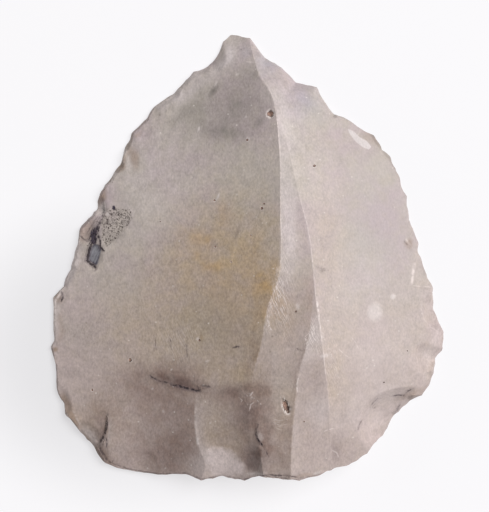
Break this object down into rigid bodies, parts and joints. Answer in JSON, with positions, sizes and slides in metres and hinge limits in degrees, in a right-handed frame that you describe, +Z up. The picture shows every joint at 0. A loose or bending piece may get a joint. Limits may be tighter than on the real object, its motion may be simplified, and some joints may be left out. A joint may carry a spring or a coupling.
{
  "type": "levallois point",
  "caption": "Broad triangular flake of knapped flint with a central ridge, retouched edges and a faceted butt, lying on its flat face.",
  "frame": {"origin": "middle of the box that holds the flake, on the surface it lies on", "axes": "+Y from the butt to the tip, +X to the right edge seen from above, +Z up out of the dorsal face"},
  "size_m": [0.0706, 0.08, 0.012],
  "materials": {
    "flint": "dull waxy surface, pale grey-beige with pinkish and olive clouds, small dark pits and brown stain"
  },
  "bodies": {
    "root": {"flint_point": "flint"}
  },
  "joints": []
}
